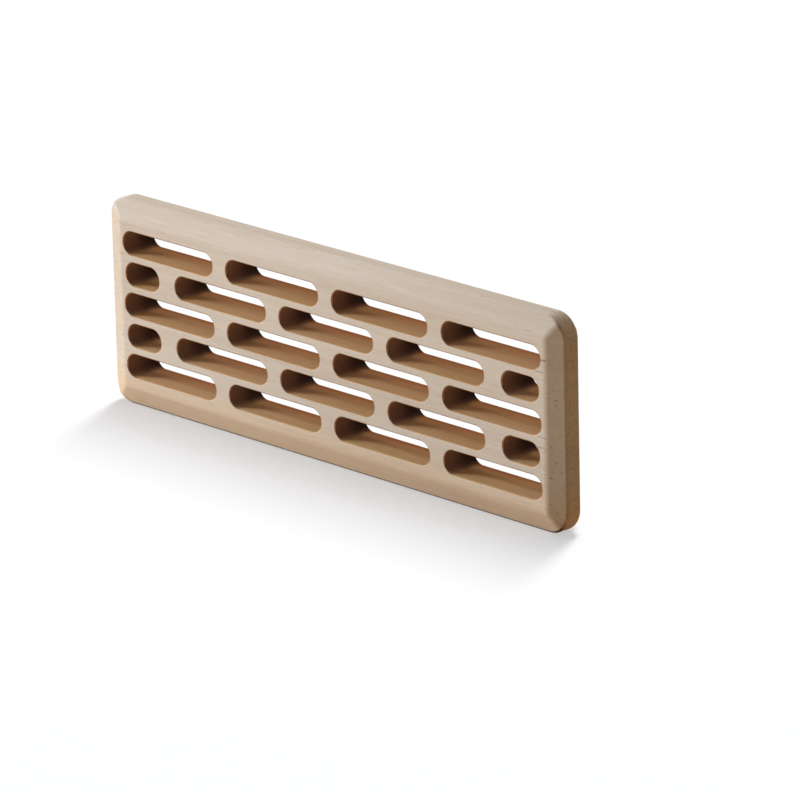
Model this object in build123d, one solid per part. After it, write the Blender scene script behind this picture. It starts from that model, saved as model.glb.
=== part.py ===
from build123d import *
import os

# A wooden ventilation grille, milled from one board. X runs along the board, Z is up and the
# room side faces -Y. The origin is the centre of the cut-out that the grille sits in, in the
# plane of the panel that the flange lies against. All sizes are in millimetres.

# Slots, milled right through the board by one round cutter
slot_width = 9.1
slot_length = 49.0
slot_land = 7.4          # wood left between two slots of a row
row_web = 2.8            # wood left between two rows
short_slot_length = 18.2
short_slot_inset = 1.0   # from the ends of the long slots to the ends of the short ones
slots_in_row = 4         # full slots in a row that starts with one
row_count = 5
mouth_easing = 0.4       # width of the edge sanded off the slots at the front

# Flange, the part of the board that covers the edge of the cut-out
end_margin = 9.7         # from the last slots to the ends of the board
edge_margin = 11.7       # from the outer rows to the long edges
flange_thickness = 9.7
corner_radius = 9.0
bevel_width = 7.6        # across the face
bevel_depth = 2.9        # down the rim
bevel_easing = 6.0       # radius sanded where the bevels meet the face and each other
rim_easing = 1.2         # radius sanded on the edges of the rim

# Spigot, the part of the board that sits in the cut-out
lip_width = 6.0          # how far the flange covers the panel
spigot_depth = 5.3
spigot_easing = 0.6      # radius sanded on the back edge

# Sizes that follow from these
slot_pitch = slot_length + slot_land
row_pitch = slot_width + row_web
field_length = slots_in_row * slot_pitch - slot_land
field_height = row_count * row_pitch - row_web
board_length = field_length + 2 * end_margin
board_height = field_height + 2 * edge_margin
board_thickness = flange_thickness + spigot_depth
front = -flange_thickness
back = spigot_depth
slack = 0.01             # how exactly an edge or a face is found by its place

# Sketch planes, which look at the board from the room
panel_plane = Plane.XZ
back_plane = panel_plane.offset(-spigot_depth)


def outline(inset):
    """The board's rounded outline, moved in by a distance."""
    return RectangleRounded(
        board_length - 2 * inset,
        board_height - 2 * inset,
        corner_radius - inset,
    )


def edges_at(solid, depth):
    """The edges of a solid that lie wholly at one depth."""
    return solid.edges().filter_by_position(Axis.Y, depth, depth)


def bevelled_block():
    """A square-cornered block, with a shallow bevel planed along each side of its face."""
    block = extrude(panel_plane * Rectangle(board_length, board_height), flange_thickness)
    face = block.faces().sort_by(Axis.Y)[0]
    return chamfer(edges_at(block, front), bevel_width, bevel_depth, reference=face)


def face_edges(block):
    """The edges of the face and the mitres that run from its corners."""
    return [edge for edge in block.edges() if edge.bounding_box().min.Y < front + slack]


def rim_edges(block):
    """The edges where the bevels run out at the rim."""
    lowest = front + bevel_depth + slack
    sides = [face for face in block.faces() if abs(face.normal_at().Y) < slack]
    edges = [edge for face in sides for edge in face.edges()]
    return [edge for edge in edges if edge.bounding_box().max.Y < lowest]


def flange():
    """The flange: bevels that meet in mitres, corners rounded across them, and sanded edges."""
    block = bevelled_block() & extrude(panel_plane * outline(0), flange_thickness)
    block = fillet(face_edges(block), bevel_easing)
    block = fillet(rim_edges(block), rim_easing)
    return fillet(edges_at(block, 0), rim_easing)


def spigot():
    """The spigot that stands out behind the flange."""
    block = extrude(back_plane * outline(lip_width), spigot_depth)
    return fillet(edges_at(block, back), spigot_easing)


def row_slots(row):
    """The slots of one row, as pairs of centre and length.

    Every second row is moved by half a pitch, so it has a short slot at each end.
    """
    first = (slot_length - field_length) / 2
    if row % 2 == 0:
        return [(first + n * slot_pitch, slot_length) for n in range(slots_in_row)]
    moved = first + slot_pitch / 2
    full = [(moved + n * slot_pitch, slot_length) for n in range(slots_in_row - 1)]
    end = (field_length - short_slot_length) / 2 - short_slot_inset
    return [(-end, short_slot_length), *full, (end, short_slot_length)]


def slots():
    """One solid for each slot, as deep as the board."""
    top = (field_height - slot_width) / 2
    cuts = []
    for row in range(row_count):
        for centre, length in row_slots(row):
            place = Pos(centre, top - row * row_pitch)
            cuts.append(extrude(back_plane * place * SlotOverall(length, slot_width), board_thickness))
    return cuts


def mouth_edges(board):
    """The edges of the slots in the front face."""
    face = board.faces().filter_by(Axis.Y).sort_by(Axis.Y)[0]
    return [edge for wire in face.inner_wires() for edge in wire.edges()]


def grille_board():
    """The whole board: flange and spigot in one piece, with the slots milled through."""
    board = flange() + spigot() - slots()
    return chamfer(mouth_edges(board), mouth_easing)


os.makedirs("parts", exist_ok=True)
export_step(grille_board(), "parts/grille_board.step")
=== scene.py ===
"""Studio scene of a wooden ventilation grille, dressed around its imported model."""

import logging
import math
from dataclasses import dataclass
from enum import Enum, IntEnum
from itertools import product

import bmesh
import bpy
from bmesh.types import BMEdge, BMesh, BMFace, BMVert
from mathutils import Matrix, Vector


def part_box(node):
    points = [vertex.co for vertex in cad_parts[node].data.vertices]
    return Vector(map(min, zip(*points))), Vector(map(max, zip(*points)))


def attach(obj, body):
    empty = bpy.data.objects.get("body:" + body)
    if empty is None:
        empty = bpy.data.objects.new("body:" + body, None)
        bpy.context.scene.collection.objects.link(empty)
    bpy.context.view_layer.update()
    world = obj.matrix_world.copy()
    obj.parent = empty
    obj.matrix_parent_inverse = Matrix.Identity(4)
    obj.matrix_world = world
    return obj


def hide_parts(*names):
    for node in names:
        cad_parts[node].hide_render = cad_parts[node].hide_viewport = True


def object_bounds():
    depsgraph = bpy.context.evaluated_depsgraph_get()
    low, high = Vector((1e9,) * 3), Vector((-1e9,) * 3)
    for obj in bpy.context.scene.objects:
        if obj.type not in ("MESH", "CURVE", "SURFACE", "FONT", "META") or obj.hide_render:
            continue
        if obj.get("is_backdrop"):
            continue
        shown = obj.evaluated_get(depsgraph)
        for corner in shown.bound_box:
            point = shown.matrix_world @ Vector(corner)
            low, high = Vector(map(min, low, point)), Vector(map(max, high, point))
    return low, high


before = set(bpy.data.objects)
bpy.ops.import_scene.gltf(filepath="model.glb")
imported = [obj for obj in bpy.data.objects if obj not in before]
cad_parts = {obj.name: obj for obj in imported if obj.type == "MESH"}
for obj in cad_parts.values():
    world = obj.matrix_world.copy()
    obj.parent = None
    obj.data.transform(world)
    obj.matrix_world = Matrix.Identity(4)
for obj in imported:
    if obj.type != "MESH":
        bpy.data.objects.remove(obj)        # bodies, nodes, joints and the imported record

LOG = logging.getLogger("grille")
END_GRAIN = "end_grain"  # face attribute: how squarely a face cuts the fibres
MM = 0.001
QUARTER = math.pi / 2
NEAR = 0.01 * MM         # how exactly an edge or a face is found by its place
CUT_NEAR = NEAR / 100    # how near a vertex counts as lying in a cutting plane
SQUARE = 0.001           # how exactly a face's lean is told by its normal
ROUND = 0.5              # a bevel's profile that is an arc
KEEP_MATERIAL = -1       # a bevel takes the material of the faces beside it

Colour = tuple[float, float, float]
Span = tuple[float, float]
Socket = bpy.types.NodeSocket
WHITE: Colour = (1.0, 1.0, 1.0)


class Cut(IntEnum):
    """How a surface of the board was made, which is also its material slot; mouth and rim are painted shade.
    """

    SANDED = 0
    MILLED = 1
    SHADED_MOUTH = 2
    SHADED_RIM = 3


class Ray(Enum):
    """Light Path outputs that show the background to the eye."""

    CAMERA = "Is Camera Ray"
    GLOSSY = "Is Glossy Ray"
    TRANSMISSION = "Is Transmission Ray"


class Operation(Enum):
    """What a Math node works out, by Blender's name."""

    ADD = "ADD"
    MULTIPLY = "MULTIPLY"
    MAXIMUM = "MAXIMUM"
    ABSOLUTE = "ABSOLUTE"


class Blend(Enum):
    """How a Mix node mixes two colours, by Blender's name."""

    MIX = "MIX"
    MULTIPLY = "MULTIPLY"


class MixSocket(IntEnum):
    """The sockets of a Mix node that mixes colours."""

    FACTOR = 0
    RESULT = 2
    FIRST = 6
    SECOND = 7


class NodeSheet:
    """A node tree, with short ways to add nodes and to join them."""

    def __init__(self, tree: bpy.types.NodeTree) -> None:
        """Empties the tree.

        Args:
            tree: The node tree of a material or a world.
        """
        self.tree = tree
        tree.nodes.clear()

    def add(
        self,
        kind: str,
        inputs: dict[str | int, Socket | float | tuple[float, ...]] | None = None,
        **settings: str | bool,
    ) -> bpy.types.Node:
        """Adds a node.

        Args:
            kind: The node's type name without the leading ShaderNode.
            inputs: Values or source sockets for the node's inputs, by name or number.
            settings: Properties of the node.

        Returns:
            The new node.
        """
        node = self.tree.nodes.new("ShaderNode" + kind)
        for name, value in settings.items():
            setattr(node, name, value)
        for key, value in (inputs or {}).items():
            if isinstance(value, Socket):
                self.tree.links.new(value, node.inputs[key])
            else:
                node.inputs[key].default_value = value
        return node

    def maths(self, operation: Operation, first: Socket, second: Socket | float = 0.0) -> Socket:
        """Works out a number with a Math node."""
        return self.add("Math", {0: first, 1: second}, operation=operation.value).outputs[0]

    def product(self, first: Socket, second: Socket | float) -> Socket:
        """Multiplies two numbers."""
        return self.maths(Operation.MULTIPLY, first, second)

    def mean(self, first: Socket, second: Socket) -> Socket:
        """Gives the mean of two numbers."""
        return self.product(self.maths(Operation.ADD, first, second), 0.5)

    def parts(self, vector: Socket) -> tuple[Socket, Socket, Socket]:
        """Gives the X, Y and Z of a vector."""
        return tuple(self.add("SeparateXYZ", {0: vector}).outputs)

    def ramp(self, value: Socket, span: Span) -> Socket:
        """Maps a span of a value smoothly to 0 to 1.

        Args:
            value: The source.
            span: The source's values that give 0 and 1.

        Returns:
            The mapped value.
        """
        low, high = span
        node = self.add("MapRange", {0: value, 1: low, 2: high}, interpolation_type="SMOOTHSTEP")
        return node.outputs[0]

    def mix(self, factor: Socket, first: Socket | Colour, second: Colour, blend: Blend = Blend.MIX) -> Socket:
        """Mixes two colours.

        Args:
            factor: How far the mix goes from the first colour to the second.
            first: The first colour, or its source.
            second: The second colour.
            blend: How they are mixed.

        Returns:
            The mixed colour.
        """
        inputs = {
            MixSocket.FACTOR: factor,
            MixSocket.FIRST: first if isinstance(first, Socket) else (*first, 1.0),
            MixSocket.SECOND: (*second, 1.0),
        }
        node = self.add("Mix", inputs, data_type="RGBA", blend_type=blend.value)
        return node.outputs[MixSocket.RESULT]

    def tint(self, colour: Socket, tint: Colour, mask: Socket, depth: float = 1.0) -> Socket:
        """Multiplies a colour by a tint.

        Args:
            colour: The colour.
            tint: The tint.
            mask: Where the tint lies, as 0 to 1.
            depth: How strong the tint is at most.

        Returns:
            The tinted colour.
        """
        return self.mix(self.product(mask, depth), colour, tint, Blend.MULTIPLY)

    def seen(self) -> Socket:
        """Tells apart the rays that show the background to the eye.

        Returns:
            1 on such rays and 0 on others.
        """
        path = self.add("LightPath").outputs
        mirrored = self.maths(Operation.MAXIMUM, path[Ray.GLOSSY.value], path[Ray.TRANSMISSION.value])
        return self.maths(Operation.MAXIMUM, path[Ray.CAMERA.value], mirrored)


@dataclass(frozen=True)
class GrainNoise:
    """Noise that is stretched along the grain, which runs along X. Sizes are in metres.

    The seed moves the noise, so that no two look alike. The span is the part of it that makes a mark.
    """

    along: float
    across: float
    detail: float
    seed: float
    span: Span = (0.0, 1.0)

    def read(self, sheet: NodeSheet, place: Socket) -> Socket:
        """Adds the noise.

        Args:
            sheet: The material's nodes.
            place: The coordinates that it is read at.

        Returns:
            The noise, around 0.5.
        """
        mapping = sheet.add("Mapping", {
            "Vector": place,
            "Location": (self.seed, self.seed, self.seed),
            "Scale": (1 / self.along, 1 / self.across, 1 / self.across),
        })
        noise = sheet.add("TexNoise", {"Vector": mapping.outputs[0], "Scale": 1.0, "Detail": self.detail})
        return noise.outputs[0]

    def mask(self, sheet: NodeSheet, place: Socket) -> Socket:
        """Adds the noise and maps its span to 0 to 1."""
        return sheet.ramp(self.read(sheet, place), self.span)


@dataclass(frozen=True)
class WoodFinish:
    """Pale, straight-grained wood. Colours are linear and lengths in metres.

    Reaches and depths say where a tint begins and where it is full: the checks' reach along X from the
    middle, the foot's painted warm bounce light down along Z, and the slots' painted shade along Y.
    """

    name: str
    light: Colour
    dark: Colour
    # the end grain's tint, which on the milled walls is also painted shade
    end_grain_and_shade_tint: Colour
    fleck_tint: Colour
    # painted shade: a tint that darkens the slots deeper in, along Y
    slot_shade_tint: Colour = WHITE
    slot_shade_depth: Span = (-5.0 * MM, 7.0 * MM)
    # painted shade: a tint that darkens the slots' end walls deeper in, along Y
    deep_end_shade_tint: Colour = WHITE
    deep_end_shade_depth: Span = (-8.0 * MM, 6.0 * MM)
    check_tint: Colour = (0.45, 0.35, 0.28)
    check_reach: Span = (99 * MM, 105 * MM)
    check_depth: float = 0.0
    # painted warm bounce light on the lower part of the board
    foot_bounce_light_tint: Colour = WHITE
    foot_bounce_light_reach: Span = (18 * MM, 38 * MM)
    end_lean: Span = (0.05, 0.8)
    tone_span: Span = (0.36, 0.64)
    fibre_depth: float = 0.35
    fleck_depth: float = 0.6
    pore_depth: float = 1.0
    roughness: float = 0.62
    specular: float = 0.15
    bump_strength: float = 0.5
    bump_height: float = 0.03 * MM
    drift: GrainNoise = GrainNoise(120 * MM, 26 * MM, detail=2.0, seed=3.1)
    streak: GrainNoise = GrainNoise(150 * MM, 3.2 * MM, detail=4.0, seed=7.7)
    fibre: GrainNoise = GrainNoise(16 * MM, 0.45 * MM, detail=3.0, seed=1.3, span=(0.3, 0.7))
    fleck: GrainNoise = GrainNoise(5 * MM, 0.55 * MM, detail=1.0, seed=5.9, span=(0.66, 0.76))
    check: GrainNoise = GrainNoise(25 * MM, 0.7 * MM, detail=1.0, seed=2.3, span=(0.67, 0.75))
    pore: GrainNoise = GrainNoise(1.1 * MM, 1.1 * MM, detail=3.0, seed=9.3, span=(0.48, 0.72))

    def make(self) -> bpy.types.Material:
        """Builds the material.

        Returns:
            The material, on Object coordinates and the faces' end grain.
        """
        material = bpy.data.materials.new(self.name)
        material.use_nodes = True
        sheet = NodeSheet(material.node_tree)
        place = sheet.add("TexCoord").outputs["Object"]
        fibre = self.fibre.read(sheet, place)
        colour = self.grain(sheet, place, fibre)
        colour = self.mark_checks_and_paint_light(sheet, place, colour)
        colour = self.darken_ends_and_paint_shade(sheet, place, colour)
        bump = sheet.add("Bump", {
            "Height": fibre,
            "Strength": self.bump_strength,
            "Distance": self.bump_height,
        })
        shader = sheet.add("BsdfPrincipled", {
            "Base Color": colour,
            "Roughness": self.roughness,
            "Specular IOR Level": self.specular,
            "Normal": bump.outputs[0],
        })
        sheet.add("OutputMaterial", {0: shader.outputs[0]})
        return material

    def grain(self, sheet: NodeSheet, place: Socket, fibre: Socket) -> Socket:
        """Lays out the wood's long streaks, its fibres and its flecks.

        Args:
            sheet: The material's nodes.
            place: The coordinates.
            fibre: The fibres' noise.

        Returns:
            The wood's colour.
        """
        drift = self.drift.read(sheet, place)
        streak = self.streak.read(sheet, place)
        tone = sheet.mean(drift, streak)
        colour = sheet.mix(sheet.ramp(tone, self.tone_span), self.light, self.dark)
        colour = sheet.tint(colour, self.fleck_tint, sheet.ramp(fibre, self.fibre.span), self.fibre_depth)
        return sheet.tint(colour, self.fleck_tint, self.fleck.mask(sheet, place), self.fleck_depth)

    def mark_checks_and_paint_light(self, sheet: NodeSheet, place: Socket, colour: Socket) -> Socket:
        """Paints shade deeper into the slots, checks the board's ends and paints warm bounce light on its
        foot.

        Args:
            sheet: The material's nodes.
            place: The coordinates.
            colour: The colour so far.

        Returns:
            The colour with checks, painted shade and painted bounce light.
        """
        x, y, z = sheet.parts(place)
        # painted shade: darker and redder deeper into the slots
        colour = sheet.tint(colour, self.slot_shade_tint, sheet.ramp(y, self.slot_shade_depth))
        ends = sheet.ramp(sheet.maths(Operation.ABSOLUTE, x), self.check_reach)
        checks = sheet.product(ends, self.check.mask(sheet, place))
        colour = sheet.tint(colour, self.check_tint, checks, self.check_depth)
        # painted warm bounce light: the lower part of the board warmer and lighter
        foot_bounce = sheet.ramp(sheet.product(z, -1.0), self.foot_bounce_light_reach)
        return sheet.tint(colour, self.foot_bounce_light_tint, foot_bounce)

    def darken_ends_and_paint_shade(self, sheet: NodeSheet, place: Socket, colour: Socket) -> Socket:
        """Darkens the end grain and paints shade on the slots' ends, more deep in, and opens the pores.

        Args:
            sheet: The material's nodes.
            place: The coordinates.
            colour: The colour so far.

        Returns:
            The colour with end grain and painted shade.
        """
        lean = sheet.add("Attribute", attribute_name=END_GRAIN).outputs["Fac"]
        across = sheet.ramp(lean, self.end_lean)
        # end grain, which on the milled finish is also painted shade
        colour = sheet.tint(colour, self.end_grain_and_shade_tint, across)
        _, y, _ = sheet.parts(place)
        # painted shade on the end walls, the more so deep in the slots
        deep_shade = sheet.product(across, sheet.ramp(y, self.deep_end_shade_depth))
        colour = sheet.tint(colour, self.deep_end_shade_tint, deep_shade)
        square = sheet.product(across, across)
        pores = sheet.product(self.pore.mask(sheet, place), square)
        return sheet.tint(colour, self.fleck_tint, pores, self.pore_depth)


FINISHES: dict[Cut, WoodFinish] = {
    Cut.SANDED: WoodFinish(
        "sanded_wood",
        light=(0.615, 0.522, 0.43),
        dark=(0.565, 0.468, 0.376),
        end_grain_and_shade_tint=(0.67, 0.545, 0.41),
        fleck_tint=(0.82, 0.75, 0.68),
        check_depth=0.75,
        # painted warm bounce light on the lower edge
        foot_bounce_light_tint=(1.15, 0.99, 0.80),
    ),
    Cut.MILLED: WoodFinish(
        "milled_wood",
        light=(0.66, 0.43, 0.228),
        dark=(0.60, 0.37, 0.175),
        # end grain, darkened further and blued as painted shade on the slots' end walls
        end_grain_and_shade_tint=(0.38, 0.33, 0.42),
        # painted shade on the slots' end walls, dark blue-grey deep in
        deep_end_shade_tint=(0.14, 0.18, 0.27),
        fleck_tint=(0.80, 0.70, 0.60),
        # painted shade: darker and redder towards the back of the slots
        slot_shade_tint=(0.50, 0.25, 0.115),
        pore_depth=0.0,
        roughness=0.85,
        specular=0.06,
    ),
    # the slots' eased mouths: darker than the wood as painted shade
    Cut.SHADED_MOUTH: WoodFinish(
        "mouth_painted_shade",
        light=(0.34, 0.19, 0.10),
        dark=(0.30, 0.16, 0.085),
        # lifts the painted shade towards orange at the slots' round ends
        end_grain_and_shade_tint=(2.0, 1.7, 1.5),
        fleck_tint=(0.80, 0.70, 0.60),
        pore_depth=0.0,
        roughness=0.8,
        specular=0.06,
    ),
    # the downward-facing front rim's easing: painted shade, dark brown
    Cut.SHADED_RIM: WoodFinish(
        "rim_painted_shade",
        light=(0.24, 0.13, 0.065),
        dark=(0.21, 0.11, 0.05),
        end_grain_and_shade_tint=(0.7, 0.65, 0.6),
        fleck_tint=(0.80, 0.70, 0.60),
        roughness=0.8,
        specular=0.06,
    ),
}


def add_object(name: str, data: bpy.types.ID, place: Matrix | None = None) -> bpy.types.Object:
    """Adds an object to the scene.

    Args:
        name: The object's name.
        data: Its mesh, lamp or camera.
        place: Where it stands, if not at the origin.

    Returns:
        The object.
    """
    made = bpy.data.objects.new(name, data)
    if place is not None:
        made.matrix_world = place
    bpy.context.scene.collection.objects.link(made)
    return made


def add_mesh(name: str, bm: BMesh) -> bpy.types.Object:
    """Adds a modelled mesh to the scene, at the origin.

    Args:
        name: The name of the mesh and its object.
        bm: What was modelled, which is freed.

    Returns:
        The object.
    """
    mesh = bpy.data.meshes.new(name)
    bm.to_mesh(mesh)
    bm.free()
    return add_object(name, mesh)


def direction(azimuth: float, elevation: float) -> Vector:
    """Gives the way from the origin to an eye or a lamp.

    Args:
        azimuth: Degrees around Z. At 0 it is in front of the board.
        elevation: Degrees above the floor.

    Returns:
        A vector of length 1.
    """
    turn, rise = math.radians(azimuth), math.radians(elevation)
    level = math.cos(rise)
    return Vector((math.sin(turn) * level, -math.cos(turn) * level, math.sin(rise)))


@dataclass
class GrilleBoard:
    """The board: a bevelled flange and a spigot in one piece, with staggered slots. Sizes are in metres."""

    length: float
    height: float
    front: float
    back: float
    slot_width: float = 9.1 * MM
    slot_length: float = 49.0 * MM
    slot_land: float = 7.4 * MM
    row_web: float = 2.8 * MM
    short_slot_length: float = 18.2 * MM
    short_slot_inset: float = 1.0 * MM
    slots_in_row: int = 4
    row_count: int = 5
    mouth_easing: float = 0.4 * MM
    corner_radius: float = 9.0 * MM
    bevel_width: float = 7.6 * MM
    bevel_depth: float = 2.9 * MM
    bevel_easing: float = 6.0 * MM
    rim_easing: float = 1.2 * MM
    lip_width: float = 6.0 * MM
    spigot_easing: float = 0.6 * MM
    corner_steps: int = 20   # flats of a rounded corner
    slot_steps: int = 28     # flats of a slot's round end
    bevel_steps: int = 6     # and of each kind of sanded edge
    rim_steps: int = 4
    spigot_steps: int = 3
    mouth_steps: int = 3
    # the rim's dark front edge below rim_down is painted shade
    rim_down: float = -0.45  # Z of the normals from which the front edge of the rim is dark
    # below floor_up a mouth face takes the mouth's painted shade
    floor_up: float = 0.3    # Z of the normals from which a mouth is as pale as the slot
    lip_up: float = 0.15     # Z and Y of the normals on the outer strip below a slot
    lip_front: float = -0.9
    name: str = "slotted_board"

    @classmethod
    def from_frame(cls, node: str) -> "GrilleBoard":
        """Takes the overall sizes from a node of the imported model.

        Args:
            node: The node's name.

        Returns:
            The board.
        """
        low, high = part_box(node)
        size = high - low
        return cls(length=size.x, height=size.z, front=low.y, back=high.y)

    @property
    def slot_pitch(self) -> float:
        """From one slot of a row to the next."""
        return self.slot_length + self.slot_land

    @property
    def row_pitch(self) -> float:
        """From one row to the next."""
        return self.slot_width + self.row_web

    @property
    def field_length(self) -> float:
        """From the first slot's tip to the last one's."""
        return self.slots_in_row * self.slot_pitch - self.slot_land

    @property
    def slope(self) -> float:
        """The angle between a bevel and the front face."""
        return math.atan2(self.bevel_depth, self.bevel_width)

    def build(self) -> bpy.types.Object:
        """Models the board.

        Returns:
            The finished object, at the origin.
        """
        bm = bmesh.new()
        self.shell(bm)
        self.open_slots(bm)
        bmesh.ops.recalc_face_normals(bm, faces=bm.faces[:])
        self.shade(bm)
        return add_mesh(self.name, bm)

    @staticmethod
    def dress(board: bpy.types.Object) -> None:
        """Gives the board its finishes, one for each kind of cut, the mouth's and rim's being painted shade.
        """
        for cut in Cut:
            board.data.materials.append(FINISHES[cut].make())

    def shell(self, bm: BMesh) -> None:
        """Models the board's outside, without slots.

        Args:
            bm: The mesh that it goes into.
        """
        half_x, half_z = self.length / 2, self.height / 2
        corners = [(-half_x, -half_z), (half_x, -half_z), (half_x, half_z), (-half_x, half_z)]
        block = bm.faces.new([bm.verts.new((x, 0.0, z)) for x, z in corners])
        cap = self.extrude(bm, block, self.front + self.bevel_depth)
        bmesh.ops.recalc_face_normals(bm, faces=bm.faces[:])
        self.inset(bm, cap, self.bevel_width, self.bevel_depth)
        face_edges = [e for e in bm.edges if self.foremost(e) < self.front + NEAR]
        self.ease(bm, face_edges, self.bevel_easing, self.slope, self.bevel_steps)
        self.round_corners(bm)
        rim = [e for e in bm.edges if self.runs_out(e) and self.foremost(e) < -NEAR]
        for face in self.ease(bm, rim, self.rim_easing, QUARTER - self.slope, self.rim_steps):
            face.normal_update()
            # the part of the front rim's easing that faces down gets painted shade
            if face.normal.z < self.rim_down:
                face.material_index = Cut.SHADED_RIM
        seat = self.flat_at(bm, 0.0)
        self.inset(bm, seat, self.lip_width, 0.0)
        spigot = self.extrude(bm, seat, self.back)
        bmesh.ops.delete(bm, geom=[seat], context="FACES_ONLY")
        back_rim = spigot.edges[:]
        seat_rim = [e for e in bm.edges if self.runs_out(e) and self.on_seat_rim(e)]
        self.ease(bm, seat_rim, self.rim_easing, QUARTER, self.rim_steps)
        self.ease(bm, back_rim, self.spigot_easing, QUARTER, self.spigot_steps)

    def round_corners(self, bm: BMesh) -> None:
        """Planes the four upright corners round, in narrow flats.

        Args:
            bm: The mesh.
        """
        middle_x = self.length / 2 - self.corner_radius
        middle_z = self.height / 2 - self.corner_radius
        for side_x, side_z, step in product((-1, 1), (-1, 1), range(self.corner_steps)):
            turn = QUARTER * (step + 0.5) / self.corner_steps
            normal = Vector((side_x * math.cos(turn), 0.0, side_z * math.sin(turn)))
            middle = Vector((side_x * middle_x, 0.0, side_z * middle_z))
            cut = bmesh.ops.bisect_plane(
                bm,
                geom=bm.verts[:] + bm.edges[:] + bm.faces[:],
                plane_co=middle + normal * self.corner_radius,
                plane_no=normal,
                clear_outer=True,
                dist=CUT_NEAR,
            )["geom_cut"]
            bmesh.ops.edgeloop_fill(bm, edges=[e for e in cut if isinstance(e, BMEdge)])
        bmesh.ops.recalc_face_normals(bm, faces=bm.faces[:])

    def open_slots(self, bm: BMesh) -> None:
        """Cuts the slots through the flat faces and sands their mouths.

        Args:
            bm: The mesh.
        """
        front_edges = self.open_flat(bm, self.front)
        back_edges = self.open_flat(bm, self.back)
        top = (self.row_count * self.row_pitch - self.row_web - self.slot_width) / 2
        mouths = []
        for row in range(self.row_count):
            for x, length in self.row_slots(row):
                centre = Vector((x, self.front, top - row * self.row_pitch))
                mouth = self.slot_loop(bm, centre, length)
                back_edges += self.mill(bm, mouth)
                mouths += mouth
        for edges, side in ((front_edges + mouths, -1.0), (back_edges, 1.0)):
            bmesh.ops.triangle_fill(bm, edges=edges, use_beauty=True, normal=(0.0, side, 0.0))
        # mouth faces that are neither lip nor floor take painted shade
        for face in self.ease(bm, mouths, self.mouth_easing, QUARTER, self.mouth_steps):
            face.material_index = self.mouth_cut(face.normal)

    def open_flat(self, bm: BMesh, depth: float) -> list[BMEdge]:
        """Takes out the flat face at one depth.

        Args:
            bm: The mesh.
            depth: Where the face lies, along Y.

        Returns:
            The edges that were around it.
        """
        flat = self.flat_at(bm, depth)
        edges = flat.edges[:]
        bmesh.ops.delete(bm, geom=[flat], context="FACES_ONLY")
        return edges

    def row_slots(self, row: int) -> list[tuple[float, float]]:
        """Lays out one row. Every second row is moved by half a pitch and has a short slot at each end.

        Args:
            row: The row's number, from the top.

        Returns:
            The centre and the length of each slot.
        """
        first = (self.slot_length - self.field_length) / 2
        if row % 2 == 0:
            return [(first + n * self.slot_pitch, self.slot_length) for n in range(self.slots_in_row)]
        short = self.short_slot_length
        end = (self.field_length - short) / 2 - self.short_slot_inset
        moved = first + self.slot_pitch / 2
        full = [(moved + n * self.slot_pitch, self.slot_length) for n in range(self.slots_in_row - 1)]
        return [(-end, short), *full, (end, short)]

    def slot_loop(self, bm: BMesh, centre: Vector, length: float) -> list[BMEdge]:
        """Draws the mouth of one slot: a circle that is pulled apart into two round ends.

        Args:
            bm: The mesh.
            centre: The middle of the mouth.
            length: The slot's length, tip to tip.

        Returns:
            The edges of the mouth.
        """
        radius = self.slot_width / 2
        half_step = QUARTER / self.slot_steps
        upright = Matrix.Rotation(QUARTER, 4, "X") @ Matrix.Rotation(half_step, 4, "Z")
        ring = bmesh.ops.create_circle(
            bm,
            segments=2 * self.slot_steps,
            radius=radius,
            matrix=Matrix.Translation(centre) @ upright,
        )["verts"]
        pull = length / 2 - radius
        for side in (-1, 1):
            end = [v for v in ring if (v.co.x - centre.x) * side > 0]
            bmesh.ops.translate(bm, vec=(side * pull, 0.0, 0.0), verts=end)
        return list(dict.fromkeys(edge for vert in ring for edge in vert.link_edges))

    def mill(self, bm: BMesh, mouth: list[BMEdge]) -> list[BMEdge]:
        """Makes the walls of one slot.

        Args:
            bm: The mesh.
            mouth: The edges of the slot's mouth.

        Returns:
            The edges where the slot comes out at the back.
        """
        made = bmesh.ops.extrude_edge_only(bm, edges=mouth)["geom"]
        far = [item for item in made if isinstance(item, BMVert)]
        bmesh.ops.translate(bm, vec=(0.0, self.back - self.front, 0.0), verts=far)
        for wall in {face for edge in mouth for face in edge.link_faces}:
            wall.material_index = Cut.MILLED
        return [item for item in made if isinstance(item, BMEdge) and all(v in far for v in item.verts)]

    def mouth_cut(self, normal: Vector) -> Cut:
        """Tells which finish a face of an eased mouth takes.

        Args:
            normal: The face's normal.

        Returns:
            Milled on the slot's floor, sanded on the strip between that and the front, else the mouth's
            painted shade.
        """
        if normal.y < self.lip_front and normal.z > self.lip_up:
            return Cut.SANDED
        if normal.z > self.floor_up:
            return Cut.MILLED
        return Cut.SHADED_MOUTH

    def shade(self, bm: BMesh) -> None:
        """Shades planed faces flat and rounded ones smooth, creases the rim and marks the end grain.

        Args:
            bm: The mesh.
        """
        end_grain = bm.faces.layers.float.new(END_GRAIN)
        for face in bm.faces:
            face[end_grain] = abs(face.normal.x)
            face.smooth = not self.planed(face.normal)
        for edge in bm.edges:
            if self.runs_out(edge):
                edge.smooth = False

    def planed(self, normal: Vector) -> bool:
        """Tells whether a face was planed: a side, a bevel, or a flat across Y.

        Args:
            normal: The face's normal.

        Returns:
            Whether it was.
        """
        x, y, z = (abs(part) for part in normal)
        if min(x, z) >= SQUARE:
            return False
        for lean in (0.0, self.slope, QUARTER):
            if abs(y - math.cos(lean)) < SQUARE and abs(max(x, z) - math.sin(lean)) < SQUARE:
                return True
        return False

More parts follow.
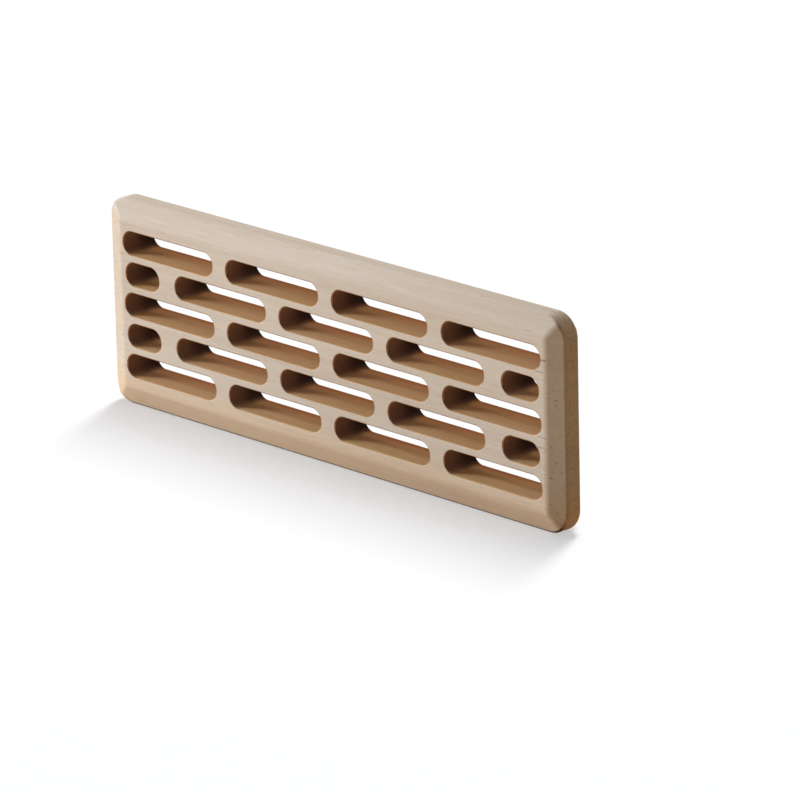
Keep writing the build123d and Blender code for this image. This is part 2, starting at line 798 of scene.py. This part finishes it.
    def on_seat_rim(self, edge: BMEdge) -> bool:
        """Tells whether an edge lies in the seat's plane and on the flange's outline, not the spigot's.

        Args:
            edge: The edge.

        Returns:
            Whether it does.
        """
        half_lip = self.lip_width / 2
        for vert in edge.verts:
            past_x = abs(vert.co.x) - self.length / 2
            past_z = abs(vert.co.z) - self.height / 2
            corner = Vector((max(past_x + self.corner_radius, 0.0), max(past_z + self.corner_radius, 0.0)))
            inside = max(past_x, past_z, corner.length - self.corner_radius) < -half_lip
            if inside or abs(vert.co.y) >= NEAR:
                return False
        return True

    @staticmethod
    def foremost(edge: BMEdge) -> float:
        """Gives the Y of an edge's foremost end."""
        return min(vert.co.y for vert in edge.verts)

    @staticmethod
    def runs_out(edge: BMEdge) -> bool:
        """Tells whether an edge lies between an upright side and a face that leans or lies across Y."""
        upright = [abs(face.normal.y) < SQUARE for face in edge.link_faces]
        return len(upright) == 2 and upright[0] != upright[1]

    @staticmethod
    def flat_at(bm: BMesh, depth: float) -> BMFace:
        """Finds the largest face across Y at one depth."""
        level = [f for f in bm.faces if all(abs(v.co.y - depth) < NEAR for v in f.verts)]
        return max(level, key=lambda face: face.calc_area())

    @staticmethod
    def extrude(bm: BMesh, face: BMFace, depth: float) -> BMFace:
        """Extrudes a face to a depth.

        Args:
            bm: The mesh.
            face: A face in a plane across Y.
            depth: Where the extruded face goes, along Y.

        Returns:
            The extruded face.
        """
        made = bmesh.ops.extrude_face_region(bm, geom=[face])["geom"]
        cap = next(item for item in made if isinstance(item, BMFace))
        move = Vector((0.0, depth - cap.verts[0].co.y, 0.0))
        bmesh.ops.translate(bm, vec=move, verts=cap.verts[:])
        return cap

    @staticmethod
    def inset(bm: BMesh, face: BMFace, width: float, height: float) -> None:
        """Moves a face's edges in, and the face out along its normal.

        Args:
            bm: The mesh.
            face: The face.
            width: How far the edges move.
            height: How far the face moves.
        """
        bmesh.ops.inset_region(
            bm,
            faces=[face],
            thickness=width,
            depth=height,
            use_boundary=True,
            use_even_offset=True,
        )

    @staticmethod
    def ease(bm: BMesh, edges: list[BMEdge], radius: float, turn: float, steps: int) -> list[BMFace]:
        """Sands edges to a radius.

        Args:
            bm: The mesh.
            edges: The edges.
            radius: The radius of the sanded edge.
            turn: The angle between the normals of the two faces.
            steps: Faces across the sanded edge.

        Returns:
            The faces of the sanded edges.
        """
        return bmesh.ops.bevel(
            bm,
            geom=edges,
            offset=radius * math.tan(turn / 2),
            offset_type="OFFSET",
            affect="EDGES",
            segments=steps,
            profile=ROUND,
            material=KEEP_MATERIAL,
        )["faces"]


@dataclass
class PhotoCamera:
    """A long lens at the photograph's view. Lengths are in metres and angles in degrees."""

    place: tuple[float, float, float] = (1.55985, -1.44850, 0.66417)
    azimuth: float = 46.604
    elevation: float = 17.748
    roll: float = -1.338
    lens_mm: float = 278.29
    sensor_mm: float = 36.0
    nearest: float = 0.05
    farthest: float = 50.0
    name: str = "photo_camera"

    def build(self) -> bpy.types.Object:
        """Makes it the scene's camera.

        Returns:
            The camera's object.
        """
        back = direction(self.azimuth, self.elevation)
        turn, roll = math.radians(self.azimuth), math.radians(self.roll)
        level = Vector((math.cos(turn), math.sin(turn), 0.0))
        rise = back.cross(level)
        right = level * math.cos(roll) + rise * math.sin(roll)
        up = rise * math.cos(roll) - level * math.sin(roll)
        data = bpy.data.cameras.new(self.name)
        data.sensor_width = self.sensor_mm
        data.lens = self.lens_mm
        data.clip_start = self.nearest
        data.clip_end = self.farthest
        aim = Matrix((right, up, back)).transposed().to_4x4()
        camera = add_object(self.name, data, Matrix.Translation(Vector(self.place)) @ aim)
        bpy.context.scene.camera = camera
        return camera


@dataclass(frozen=True)
class Softbox:
    """A square soft lamp that faces the origin. Angles are in degrees and lengths in metres.

    Azimuth 0 is in front of the board, and a level of 1 lights a white face as a white world does.
    """

    name: str
    azimuth: float
    elevation: float
    distance: float
    side: float
    level: float
    colour: Colour = WHITE

    def build(self) -> bpy.types.Object:
        """Hangs the lamp.

        Returns:
            The lamp's object.
        """
        data = bpy.data.lights.new(self.name, "AREA")
        data.shape = "SQUARE"
        data.size = self.side
        data.energy = self.level * (math.pi * self.distance) ** 2
        data.color = self.colour
        back = direction(self.azimuth, self.elevation)
        aim = back.to_track_quat("Z", "Y").to_matrix().to_4x4()
        return add_object(self.name, data, Matrix.Translation(back * self.distance) @ aim)


@dataclass(frozen=True)
class StripLamp:
    """A far, tall strip lamp that faces the origin. Angles are in degrees and lengths in metres.

    The tilt leans it from overhead to behind the board, the turn then swings it around Z, and the spread is
    how wide and how tall it looks from the origin.
    """

    name: str
    tilt: float
    turn: float
    distance: float
    spread: tuple[float, float]
    level: float

    def build(self) -> bpy.types.Object:
        """Hangs the lamp.

        Returns:
            The lamp's object.
        """
        width, height = (2 * self.distance * math.tan(math.radians(angle / 2)) for angle in self.spread)
        data = bpy.data.lights.new(self.name, "AREA")
        data.shape = "RECTANGLE"
        data.size = width
        data.size_y = height
        data.energy = self.level * math.pi * self.distance ** 2
        turn = Matrix.Rotation(math.radians(self.turn), 4, "Z")
        tilt = Matrix.Rotation(-math.radians(self.tilt), 4, "X")
        return add_object(self.name, data, turn @ tilt @ Matrix.Translation((0.0, 0.0, self.distance)))


@dataclass(frozen=True)
class FloorFinish:
    """A floor that is white to the eye, with the board's shadow on it, and dimmer to the board.

    The glow is the share of the white that no shadow takes away.
    """

    name: str = "white_floor"
    white: Colour = (0.925, 0.93, 0.935)
    glow: float = 0.5
    bounce: Colour = (0.64, 0.48, 0.30)

    def make(self) -> bpy.types.Material:
        """Builds the material.

        Returns:
            The material.
        """
        material = bpy.data.materials.new(self.name)
        material.use_nodes = True
        sheet = NodeSheet(material.node_tree)
        dim = sheet.add("BsdfDiffuse", {"Color": (*self.bounce, 1.0)})
        white = sheet.add("BsdfDiffuse", {"Color": (*self.white, 1.0)})
        glow = sheet.add("Emission", {"Strength": 1.0})
        lit = sheet.add("MixShader", {0: self.glow, 1: white.outputs[0], 2: glow.outputs[0]})
        mixed = sheet.add("MixShader", {0: sheet.seen(), 1: dim.outputs[0], 2: lit.outputs[0]})
        sheet.add("OutputMaterial", {0: mixed.outputs[0]})
        return material


@dataclass
class Studio:
    """The white floor, the lamps and the white surround. Lengths are in metres.

    The soft lamps light only the board. The strip lamp lights only the floor, from above and behind, so that
    the board's shadow falls towards the eye.
    """

    floor_height: float
    floor_side: float = 12.0
    floor_finish: FloorFinish = FloorFinish()
    surround: Colour = (0.19, 0.20, 0.22)
    lamps: tuple[Softbox, ...] = (
        Softbox("key_softbox", azimuth=-65.0, elevation=4.0, distance=2.0, side=0.64, level=1.34,
                colour=(0.88, 1.0, 1.12)),
        Softbox("high_softbox", azimuth=-60.0, elevation=30.0, distance=2.0, side=0.46, level=0.32),
        Softbox("left_softbox", azimuth=-88.0, elevation=28.0, distance=1.3, side=1.6, level=0.45,
                colour=(1.03, 1.01, 0.96)),
        Softbox("back_softbox", azimuth=180.0, elevation=35.0, distance=1.3, side=1.4, level=0.2,
                colour=(1.0, 0.97, 0.9)),
        Softbox("top_softbox", azimuth=180.0, elevation=62.0, distance=1.5, side=0.6, level=0.31,
                colour=(1.0, 0.97, 0.9)),
    )
    floor_lamp: StripLamp = StripLamp("floor_light", tilt=21.0, turn=25.0, distance=20.0, spread=(8.0, 42.0),
                                      level=3.3)

    def build(self, board: bpy.types.Object) -> None:
        """Makes the floor, the lamps and the world.

        Args:
            board: The one object that the soft lamps light.
        """
        floor = self.floor()
        self.world()
        for lamp in self.lamps:
            self.only(lamp.build(), board)
        self.only(self.floor_lamp.build(), floor)

    def floor(self) -> bpy.types.Object:
        """Makes the floor.

        Returns:
            The floor's object.
        """
        bm = bmesh.new()
        place = Matrix.Translation((0.0, 0.0, self.floor_height))
        bmesh.ops.create_grid(bm, x_segments=1, y_segments=1, size=self.floor_side / 2, matrix=place)
        floor = add_mesh("floor", bm)
        floor.data.materials.append(self.floor_finish.make())
        floor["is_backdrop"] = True
        return floor

    def world(self) -> None:
        """Makes the surround: white to the eye, and a dim soft light on the board."""
        world = bpy.data.worlds.new("surround")
        bpy.context.scene.world = world
        world.use_nodes = True
        sheet = NodeSheet(world.node_tree)
        dim = sheet.add("Background", {"Color": (*self.surround, 1.0)})
        white = sheet.add("Background", {"Color": (*WHITE, 1.0)})
        mixed = sheet.add("MixShader", {0: sheet.seen(), 1: dim.outputs[0], 2: white.outputs[0]})
        sheet.add("OutputWorld", {0: mixed.outputs[0]})

    @staticmethod
    def only(lamp: bpy.types.Object, target: bpy.types.Object) -> None:
        """Limits a lamp's light to one object, which others still shade.

        Args:
            lamp: The lamp.
            target: The object that it lights.
        """
        group = bpy.data.collections.new(lamp.name + "_lights")
        group.objects.link(target)
        lamp.light_linking.receiver_collection = group


def main() -> None:
    """Builds the grille and its studio."""
    logging.basicConfig(level=logging.INFO, format="%(name)s: %(message)s")
    node = "grille_board"
    cad_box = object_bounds()
    bpy.context.scene.view_settings.view_transform = "Standard"
    design = GrilleBoard.from_frame(node)
    board = design.build()
    design.dress(board)
    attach(board, "root")
    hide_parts(node)
    LOG.info("%s: %d faces", board.name, len(board.data.polygons))
    PhotoCamera().build()
    Studio(floor_height=cad_box[0].z).build(board)


if __name__ == "__main__":
    main()
